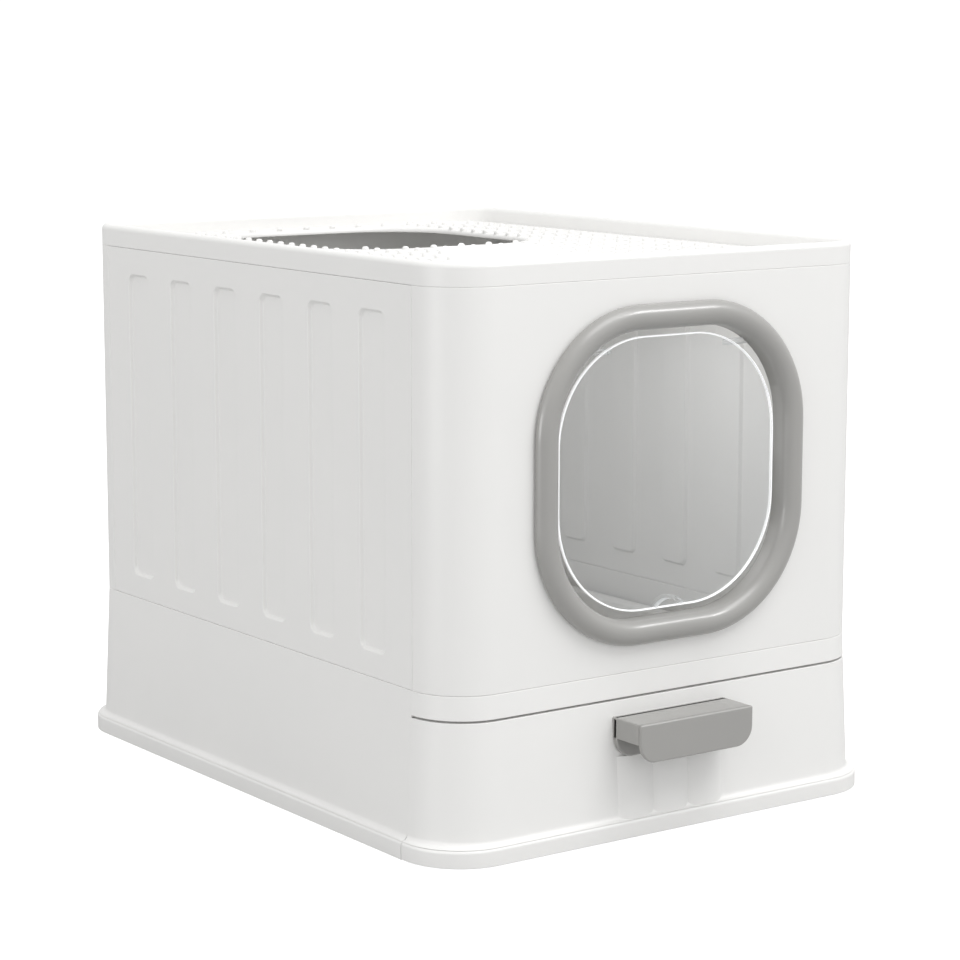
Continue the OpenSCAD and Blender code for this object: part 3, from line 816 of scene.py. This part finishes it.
@dataclass
class Panels:
    """The four panels of the cabin."""

    shop: Workshop
    ribs: int = 6
    rib_w: float = 31.5
    rib_end: float = 30.75
    rib_depth: float = 2.5
    rib_r: float = 7.0
    rib_foot: float = 17.0
    rib_head: float = 18.0
    rib_slope: float = 2.4
    head_gap: float = 0.8
    foot_gap: float = 0.05
    lap_foot: float = 6.0
    lap_head: float = 14.0
    hole: Triple = (201.2, 201.2, 71.6)
    hole_z: float = 246.5

    @property
    def rib_span(self) -> Pair:
        """Bottom and top of the ribs, as the CAD source places them."""
        return CABIN.base + CABIN.gap + self.rib_foot, CABIN.head - self.head_gap - self.rib_head

    @property
    def rib_pitch(self) -> float:
        """Distance from one rib's middle to the next."""
        return (2 * (CABIN.seam - self.rib_end) - self.rib_w) / (self.ribs - 1)

    def corner_strip(self, heights: Array, front: bool) -> Shell:
        """Both wrapped corners as open surfaces: the corner's arc by the given heights."""
        c = CABIN
        turn = np.linspace(0, math.pi / 2, 15)
        sign = -1 if front else 1
        x = c.width / 2 - c.corner + c.corner * np.sin(turn)
        y = sign * (c.depth / 2 - c.corner + c.corner * np.cos(turn))
        parts = np.broadcast_arrays(x[:, None], y[:, None], heights[None])
        grid = np.stack(parts, -1).reshape(-1, 3)
        outward = grid_faces(len(x), len(heights))
        inward = [f[::-1] for f in outward]
        right = Shell(grid, outward if front else inward)
        left = Shell(grid * [-1, 1, 1], inward if front else outward)
        return joined([right, left])

    def front(self) -> Shell:
        """Front panel: rings from the window's hole out to a rectangle, and two corners."""
        c = CABIN
        flat = c.width / 2 - c.corner
        low, high = c.base + self.foot_gap - self.hole_z, c.head - self.hole_z
        hole = rounded_rect(*self.hole, 16)
        box = np.array([[flat, high], [-flat, high], [-flat, low], [flat, low]])
        # Each ray is stretched to the rectangle by the nearer of its two limits.
        limit_y = np.where(hole.points[:, 1] > 0, box[0, 1], -box[2, 1])
        away_x, away_y = np.abs(hole.points).clip(1e-6).T
        edge = hole.points * np.minimum(flat / away_x, limit_y / away_y)[:, None]
        for corner in box:
            edge[np.argmin(np.linalg.norm(edge - corner, axis=1))] = corner
        steps = np.array([0, 0.35, 1.0])[:, None, None]
        rings = hole.points[None] * (1 - steps) + edge[None] * steps
        verts = np.insert(rings.reshape(-1, 2) + [0, self.hole_z], 1, -c.face, axis=1)
        block = Shell(verts, grid_faces(len(steps), len(edge), False, True))
        sides = np.unique(np.round(edge[edge[:, 0] > flat - 1e-6][:, 1] + self.hole_z, 6))
        return joined([block, self.corner_strip(sides, True)])

    def back(self) -> Shell:
        """Back panel: a plain sheet with two wrapped corners."""
        c = CABIN
        low, high = c.base + self.foot_gap, c.head
        x, y = c.width / 2 - c.corner, c.face
        corners = np.array([[x, y, low], [-x, y, low], [-x, y, high], [x, y, high]])
        strip = self.corner_strip(np.array([low, high]), False)
        return joined([Shell(corners, [[0, 1, 2, 3]]), strip])

    def recess(self, along: Array, up: Array) -> Array:
        """Depth of the ribs: a smooth step across the edge of each rounded rectangle.

        With s the distance inside the rectangle, the depth is t * t * (3 - 2 t) of the
        full depth, where t is s over the slope's width, held between 0 and 1.

        Args:
            along: Distance along the panel from its middle.
            up: Height above the floor.

        Returns:
            The depth in millimetres.
        """
        pitch = self.rib_pitch
        low, high = self.rib_span
        shift = pitch / 2 if self.ribs % 2 else 0
        local = (along + shift) % pitch - pitch / 2
        qx = np.abs(local) - (self.rib_w / 2 - self.rib_r)
        qz = np.abs(up - (low + high) / 2) - ((high - low) / 2 - self.rib_r)
        inside = self.rib_r - np.hypot(qx.clip(0), qz.clip(0)) - np.minimum(np.maximum(qx, qz), 0)
        inside = np.where(np.abs(along) < self.ribs * pitch / 2, inside, 0)
        t = (inside / self.rib_slope).clip(0, 1)
        return self.rib_depth * t * t * (3 - 2 * t)

    def side(self, sign: int) -> Shell:
        """A side panel: recessed ribs on both faces, from a grid that is fine at their edges."""
        c = CABIN
        end = c.seam - c.seam_gap
        fine = np.concatenate([np.linspace(-0.3, 2.7, 11), [3.6, 4.6, 5.8, 7.2]])
        middles = (np.arange(self.ribs) - (self.ribs - 1) / 2)[:, None] * self.rib_pitch
        left, right = middles - self.rib_w / 2 + fine, middles + self.rib_w / 2 - fine
        along = np.unique(np.round(np.concatenate([left.ravel(), right.ravel(), [-end, end]]), 4))
        low, high = c.base + c.seam_gap, c.head - c.seam_gap
        foot, head = self.rib_span
        up = np.unique(np.concatenate([[low, high], foot + fine, head - fine]))
        grid_a, grid_u = np.meshgrid(along, up, indexing="ij")
        depth = self.recess(grid_a, grid_u)
        outside = np.stack([sign * (c.width / 2 - depth), grid_a, grid_u], -1)
        return slab(outside, outside - np.array([sign * c.wall, 0, 0]))

    def fittings(self, sign: int) -> Shell:
        """A side panel's end laps and hinge knuckles, on its inner face."""
        c = CABIN
        end, low = c.seam - c.gap, c.base + c.gap + self.lap_foot
        high = c.head - self.head_gap - self.lap_head
        x = c.width / 2 - c.wall
        sunk, mid, deep = x + 0.3, x - 1, x - 3.5
        steps = [[sunk, -8], [sunk, -0.2], [mid, -0.2], [mid, 6], [deep, 6], [deep, -8]]
        lap = np.array(steps) + [0, end]
        shells = [extrude(lap * [1, turn], 2, low, high) for turn in (-1, 1)]
        hinge_x, hinge_y, hinge_z = c.hinge
        r, half = c.knuckle_r, c.knuckle / 2
        sweep = np.radians(np.linspace(90, 270, 13))
        arc = circle(sweep, r) + [hinge_x, hinge_z]
        ring = np.vstack([arc, [[sunk, hinge_z - r], [sunk, hinge_z + r]]])
        shells += [extrude(ring, 1, along - half, along + half) for along in (-hinge_y, hinge_y)]
        return joined(shells).mapped((0, 1, 2), (sign, 1, 1))

    def build(self) -> None:
        """Makes the four panels and the side panels' fittings."""
        add, wall = self.shop.add, CABIN.wall
        add("front_sheet", self.front(), "cabin", ("front_panel",), thickness=wall, bevel=0.5)
        add("back_sheet", self.back(), "cabin", ("back_panel",), thickness=wall, bevel=0.5)
        for side, sign in (("left", -1), ("right", 1)):
            body, node = f"{side}_side", (f"{side}_panel",)
            add(f"{side}_sheet", self.side(sign), body, node, bevel=0.5)
            add(f"{side}_fittings", self.fittings(sign), body, node, bevel=0.4)
        self.shop.dress("panel_hinge_pins", Slot.STEEL)


@dataclass
class Window:
    """The window: half-round ring, its retaining ring and the clear flap."""

    shop: Workshop
    width: float = 230.0
    height: float = 230.0
    radius: float = 86.0
    centre_z: float = 246.5
    bead: float = 17.2
    foot: Pair = (2.2, 2.0)
    sleeve: float = 2.5
    sleeve_long: float = 8.0
    flap_gap: float = 4.9
    flap_round: float = 7.0
    flap_t: float = 1.8
    flap_y: float = 4.5
    sheet_y: float = 3.0
    pin_r: float = 2.2
    pivot_up: float = 84.5
    retainer_t: float = 3.0
    tab_r: float = 14.75
    tab_half: float = 1.25

    @property
    def flap_size(self) -> Triple:
        """Width, height and corner radius of the flap."""
        inset = self.bead + self.flap_gap
        corner = self.radius - inset + self.flap_round
        return self.width - 2 * inset, self.height - 2 * inset, corner

    def outline(self, arc: int) -> Path:
        """The ring's outside."""
        return rounded_rect(self.width, self.height, self.radius, arc)

    def upright(self, shell: Shell) -> Shell:
        """Stands a shell drawn flat, with its height forwards, in the front panel."""
        return shell.mapped((0, 2, 1), (1, -1, 1)).moved(0, -CABIN.face, self.centre_z)

    def ring(self) -> Shell:
        """The bead, half a circle on a set-back foot, with the sleeve behind its inner edge."""
        turn = np.radians(np.linspace(0, 180, 25))
        back, rise = self.foot
        half, inner, deep = self.bead / 2, -self.bead + self.sleeve, -self.sleeve_long
        arch = np.stack([-half + half * np.cos(turn), rise + (half - rise / 2) * np.sin(turn)], -1)
        arch = np.vstack([[[-back, 0.0], [-back, rise * 0.55]], arch])
        corners = [(-self.bead, 0), (-self.bead, deep, 0.8), (inner, deep, 0.8), (inner, 0)]
        sleeve = rounded(corners, 3, closed=False)
        return self.upright(carry(self.outline(24), np.vstack([arch, sleeve])))

    def retainer(self) -> Shell:
        """The flat ring behind the panel."""
        inner, outer, wall = -self.bead + self.sleeve + CABIN.gap, -5.0, CABIN.wall
        back = -wall - self.retainer_t
        corners = [(inner, -wall), (outer, -wall), (outer, back, 0.6), (inner, back, 0.6)]
        return self.upright(carry(self.outline(16), rounded(corners, 3)))

    def flap(self) -> Shell:
        """The flap's clear sheet."""
        sheet = plate(rounded_rect(*self.flap_size, 20), self.flap_t, 0.5)
        return self.upright(sheet.moved(0, 0, -self.sheet_y + self.flap_t / 2))

    def flap_edge(self) -> Shell:
        """The flap's edge, a narrow band round it that glows with emission as a painted highlight.
        """
        half = self.flap_t / 2 + 0.2
        low, high = -self.sheet_y - half, -self.sheet_y + half
        corners = [(-0.8, low, 0.3), (0.3, low, 0.4), (0.3, high, 0.4), (-0.8, high, 0.3)]
        return self.upright(carry(rounded_rect(*self.flap_size, 24), rounded(corners, 3)))

    def half_at_pivot(self, inset: float, more: float) -> float:
        """Half width of the ring's outline, moved inwards, at the height of the pivots."""
        rise = self.pivot_up - self.height / 2 + self.radius + more
        across = math.sqrt((self.radius + more - inset) ** 2 - rise**2)
        return self.width / 2 - self.radius - more + across

    def pins(self) -> Shell:
        """The flap's two pivot pins and the arched finger tab."""
        end = self.half_at_pivot(self.bead - self.sleeve, 0) - 1
        root = self.half_at_pivot(self.bead + self.flap_gap, self.flap_round) - 6
        pin = rod(self.pin_r, end - root, 0.5).moved(root, self.pivot_up, -self.flap_y)
        turn = np.radians(np.linspace(38, 142, 19))
        foot = -(self.height / 2 - self.bead - self.flap_gap) + 0.5 - 8
        r, t = self.tab_r, self.tab_half
        arch = Path(circle(turn, r) + [0, foot], circle(turn), False)
        low, high = -self.sheet_y - self.flap_t / 2, -self.sheet_y + self.flap_t / 2 + 3
        tab = carry(arch, rounded([(-t, low, 0), (t, low, 0), (t, high, 0.6), (-t, high, 0.6)], 3))
        return self.upright(joined([pin, pin.mapped((0, 1, 2), (-1, 1, 1)), tab]))

    def build(self) -> None:
        """Makes the ring, the retaining ring and the flap."""
        add, flap = self.shop.add, ("swing_flap",)
        add("window_bead", self.ring(), "cabin", ("window_ring",), Slot.GREY)
        add("window_retainer", self.retainer(), "cabin", ("retaining_ring",), Slot.GREY)
        add("flap_sheet", self.flap(), "flap", flap, Slot.CLEAR)
        # The edge band gets the glowing finish: a painted highlight round the flap.
        add("flap_edge", self.flap_edge(), "flap", flap, Slot.CLEAR, finish="edge")
        add("flap_pins", self.pins(), "flap", flap, Slot.CLEAR)


@dataclass
class Lid:
    """The lid: rim, deck with drain holes, studs, and the collar of the entry hole."""

    shop: Workshop
    rim_t: float = 8.0
    crest: float = 3.95
    drop: float = 12.0
    deck_t: float = 2.5
    hole: Triple = (192.0, 200.0, 60.0)
    hole_y: float = 110.5
    collar: float = 3.9
    mouth: float = 3.0
    pitch: Pair = (24.8, 15.35)
    stud: Pair = (2.5, 2.5)
    drain: float = 1.8
    margin: float = 20.0

    @property
    def deck(self) -> float:
        """Height of the deck's top."""
        return CABIN.height - self.drop

    def rim(self) -> Shell:
        """The rim band, whose crest is half round."""
        c, t, crest = CABIN, self.rim_t, self.crest
        outside = [(0, c.head, 0.5), (0, c.height, crest), (-t, c.height, crest)]
        inside = [(-t, self.deck - 0.2, 0), (-t, c.head, 0.5)]
        return carry(c.outline(), rounded(outside + inside, 7))

    def lattice(self, share: float, edge: float) -> Array:
        """Places in the lattice, moved by a share of its pitch, that clear the rim and the hole.

        Args:
            share: Shift in both directions, as a share of the pitch.
            edge: Least distance from the entry hole.

        Returns:
            The places, one row each.
        """
        c = CABIN
        pitch = np.array(self.pitch)
        half = (np.array([c.width, c.depth]) / 2 // pitch).astype(int)
        i, j = np.meshgrid(*(np.arange(-n, n + 1) for n in half), indexing="ij")
        points = (np.stack([i, j], -1).reshape(-1, 2) + share) * pitch
        inset = self.rim_t + self.margin
        w, d, r = self.hole
        clear_of_rim = within(points, c.width - 2 * inset, c.depth - 2 * inset, c.corner - inset)
        in_hole = within(points - [0, self.hole_y], w + 2 * edge, d + 2 * edge, r + edge)
        return points[clear_of_rim & ~in_hole]

    def deck_sheet(self) -> Shell:
        """The deck: a triangle mesh between the rim, the entry hole and the drain holes."""
        c = CABIN
        centres = self.lattice(0.5, self.mouth + self.drain + 1)
        edge_size = (c.width - 2, c.depth - 2, c.corner - 1)
        outer = rounded_rect(*edge_size, 10).points
        w, d, r = self.hole
        entry_size = (w + 2 * self.mouth, d + 2 * self.mouth, r + self.mouth)
        entry = rounded_rect(*entry_size, 20).points + [0, self.hole_y]
        turn = np.linspace(0, 2 * math.pi, 16, endpoint=False)
        drains = centres[:, None] + circle(turn, self.drain)[None]
        points = np.vstack([outer, entry, drains.reshape(-1, 2)])
        sizes = [len(outer), len(entry)] + [len(turn)] * len(centres)
        starts = np.cumsum([0] + sizes)
        after = np.arange(len(points)) + 1
        after[starts[1:] - 1] = starts[:-1]
        edges = np.stack([np.arange(len(points)), after], -1)
        found = delaunay_2d_cdt([Vector(p) for p in points.tolist()], edges.tolist(), [], 0, 1e-6)
        flat, triangles = np.array([list(v) for v in found[0]]), np.array(found[2])
        middle = flat[triangles].mean(1)
        off_drains = np.linalg.norm(middle[:, None] - centres[None], axis=-1).min(1) > self.drain
        in_hole = within(middle - [0, self.hole_y], *entry_size)
        triangles = triangles[within(middle, *edge_size) & ~in_hole & off_drains]
        n = len(flat)
        top = np.insert(flat, 2, self.deck, axis=1)
        low = np.insert(flat, 2, self.deck - self.deck_t, axis=1)
        walls = np.stack([edges[:, 0], edges[:, 1], edges[:, 1] + n, edges[:, 0] + n], -1)
        faces = triangles.tolist() + (triangles[:, ::-1] + n).tolist() + walls.tolist()
        return Shell(np.vstack([top, low]), faces)

    def studs(self) -> Shell:
        """Domed studs: one small dome set at every point of the lattice."""
        # Shares of the radius and the height, from inside the deck up to the dome's top.
        shares = np.array([[1.0, -0.8], [1.0, 0.35], [0.9, 0.68], [0.68, 0.9], [0.35, 1.0]])
        rings = shares * self.stud
        turn = np.linspace(0, 2 * math.pi, 14, endpoint=False)
        dome = round_grid(rings[:, 1:], rings[:, :1], turn).reshape(-1, 3)[:, [1, 2, 0]]
        rows, sides = len(rings), len(turn)
        low, high = end_caps(rows, sides)
        faces = grid_faces(rows, sides, False, True) + [high[::-1], low[::-1]]
        centres = np.insert(self.lattice(0, self.stud[0] + 0.5), 2, self.deck, axis=1)
        verts = (centres[:, None] + dome[None]).reshape(-1, 3)
        steps = np.arange(len(centres)) * len(dome)
        return Shell(verts, [[i + int(s) for i in f] for s in steps for f in faces])

    def entry_collar(self) -> Shell:
        """The collar: a short wall that the deck runs down into with a large radius."""
        top, low, out = self.deck + 0.02, self.deck - self.collar, self.mouth + 1
        t, under = self.deck_t, self.deck - self.deck_t
        outside = [(0, top, self.mouth), (out, top), (out, under)]
        profile = rounded(outside + [(t, under, 0.3), (t, low, 0.5), (0, low, 0.5)], 7)
        return carry(rounded_rect(*self.hole, 24), profile).moved(0, self.hole_y, 0)

    def build(self) -> None:
        """Makes the lid's pieces."""
        shells = (self.rim(), self.deck_sheet(), self.studs(), self.entry_collar())
        for name, shell in zip(("rim", "deck", "studs", "collar"), shells):
            self.shop.add(f"lid_{name}", shell, "top", ("lid",))


def within(points: Array, width: float, depth: float, radius: float) -> Array:
    """Whether points lie in a rounded rectangle: the distance past its core is under the radius."""
    past = (np.abs(points) - [width / 2 - radius, depth / 2 - radius]).clip(0)
    return np.hypot(past[..., 0], past[..., 1]) < radius


# -------- studio


@dataclass
class Studio:
    """Floor, lights and camera."""

    lens: float = 103.88
    place: Triple = (-1.1766, -1.6564, 0.5380)
    azimuth: float = 35.59
    pitch: float = 9.159
    roll: float = 0.048
    sensor: float = 36.0
    floor_half: float = 6.0
    floor_z: float = -0.0002
    sky_light: float = 0.95
    sky_seen: float = 1.1

    def floor(self) -> None:
        """A plain floor: white to the camera, a mid grey to the light that it throws back."""
        half, z = self.floor_half, self.floor_z
        corners = [(-half, -half, z), (half, -half, z), (half, half, z), (-half, half, z)]
        mesh = bpy.data.meshes.new("floor")
        mesh.from_pydata(corners, [], [(0, 1, 2, 3)])
        floor = placed("floor", mesh)
        paint, nodes, links, shader = blank_material("floor_paint")
        set_inputs(shader, Base_Color=(0.5, 0.5, 0.5, 1), Roughness=0.9)
        set_inputs(shader, Emission_Color=(1, 1, 1, 1))
        path = nodes.new("ShaderNodeLightPath")
        wire(links, (path, "Is Camera Ray", shader, "Emission Strength"))
        mesh.materials.append(paint)

    def lamp(
        self,
        name: str,
        place: Triple,
        size: float,
        power: float,
        aim: Triple = (0, 0, 0.2),
        gloss_only: bool = False,
    ) -> None:
        """A square soft light aimed at a point, which may show in gloss alone."""
        data = bpy.data.lights.new(name, "AREA")
        data.shape, data.size, data.energy = "SQUARE", size, power
        lamp = placed(name, data)
        lamp.visible_camera = False
        lamp.visible_diffuse = not gloss_only
        lamp.location = place
        lamp.rotation_euler = (Vector(aim) - Vector(place)).to_track_quat("-Z", "Y").to_euler()

    def sky(self) -> None:
        """White behind the object, and an even dimmer light from all round."""
        world = bpy.data.worlds.new("studio")
        bpy.context.scene.world = world
        world.use_nodes = True
        nodes, links = world.node_tree.nodes, world.node_tree.links
        path, mix = nodes.new("ShaderNodeLightPath"), nodes.new("ShaderNodeMix")
        set_inputs(mix, A=self.sky_light, B=self.sky_seen)
        back = nodes["Background"]
        wire(links, (path, "Is Camera Ray", mix, "Factor"), (mix, "Result", back, "Strength"))
        set_inputs(back, Color=(1, 1, 1, 1))

    def camera(self) -> None:
        """The camera, from a fit to the photograph's outlines."""
        data = bpy.data.cameras.new("camera")
        data.lens, data.sensor_width = self.lens, self.sensor
        camera = placed("camera", data)
        camera.location = self.place
        a, p = math.radians(self.azimuth), math.radians(self.pitch)
        ahead = Vector((math.sin(a) * math.cos(p), math.cos(a) * math.cos(p), -math.sin(p)))
        turn = ahead.to_track_quat("-Z", "Y").to_matrix()
        roll = Euler((0, 0, math.radians(self.roll))).to_matrix()
        camera.rotation_euler = (turn @ roll).to_euler()
        bpy.context.scene.camera = camera

    def build(self) -> None:
        """Sets up the whole studio."""
        self.camera()
        self.floor()
        self.sky()
        self.lamp("key", (0.5, -1.5, 2.6), 1.6, 36)
        self.lamp("fill", (-2.4, -0.6, 1.3), 2.0, 4)
        self.lamp("inside", (-0.08, -0.05, 0.34), 0.2, 0.12, (0.18, -0.2, 0.2))
        self.lamp("inside_front", (0.075, -0.115, 0.3), 0.15, 0.06, (0.18, -0.11, 0.24))
        self.lamp("gleam", (1.43, -1.6, 1.8), 0.5, 20, (0, -0.24, 0.25), True)
        self.lamp("side_gleam", (-3.0, -0.4, 0.5), 1.0, 25, (-0.18, 0, 0.25), True)
        bpy.context.scene.view_settings.view_transform = "Standard"


def main() -> None:
    """Builds the studio and the sub-assemblies in order."""
    logging.basicConfig(level=logging.INFO, format="%(message)s")
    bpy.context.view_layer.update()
    Studio().build()
    shop = Workshop(Finishes())
    for assembly in (BaseFrame(shop), Drawer(shop), Panels(shop), Window(shop), Lid(shop)):
        assembly.build()


if __name__ == "__main__":
    main()
